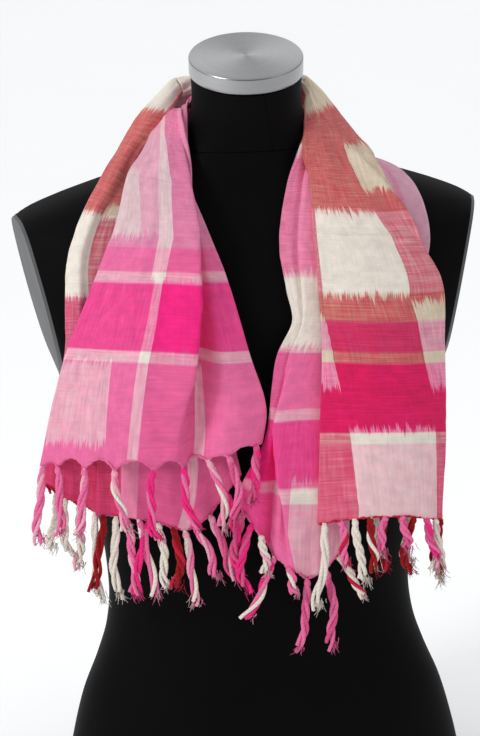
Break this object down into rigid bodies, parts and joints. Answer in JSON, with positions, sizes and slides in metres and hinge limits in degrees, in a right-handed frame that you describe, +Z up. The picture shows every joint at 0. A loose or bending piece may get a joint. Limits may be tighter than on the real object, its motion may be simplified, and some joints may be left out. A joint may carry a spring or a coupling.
{
  "type": "fringed scarf on a dress form",
  "caption": "Square woven scarf with tasselled ends, hung round the neck of a limbless dress form with a metal neck cap and a flat base.",
  "frame": {"origin": "middle of the form's flat base, on the surface it stands on", "axes": "+Z up, the form faces -Y, +X to the right as seen from the front"},
  "size_m": [0.4612, 0.2705, 0.7564],
  "materials": {
    "pink_cloth": "matte plain-woven cotton, pink plaid with cream stripes",
    "red_cloth": "matte plain-woven cotton, red and cream feathered blocks",
    "pale_cloth": "matte plain-woven cotton, pale pink plaid",
    "pink_yarn": "twisted cotton yarn, frayed tips",
    "red_yarn": "twisted cotton yarn, frayed tips",
    "pale_yarn": "twisted cotton yarn, frayed tips",
    "jersey": "black stretch jersey cover, soft sheen",
    "plate": "flat grey arm plates",
    "aluminium": "spun and brushed aluminium"
  },
  "bodies": {
    "root": {"form_torso": "jersey", "form_plate_left": "plate", "form_plate_right": "plate", "neck_cap": "aluminium", "left_front": "pink_cloth", "neck_pink": "pink_cloth", "right_inner": "pink_cloth", "left_roll": "red_cloth", "neck_red": "red_cloth", "right_front": "red_cloth", "left_middle": "pale_cloth", "neck_pale": "pale_cloth", "right_back": "pale_cloth", "left_front_tassels": "pink_yarn", "right_inner_tassels": "pink_yarn", "left_roll_tassels": "red_yarn", "right_front_tassels": "red_yarn", "left_middle_tassels": "pale_yarn", "right_back_tassels": "pale_yarn"}
  },
  "joints": []
}
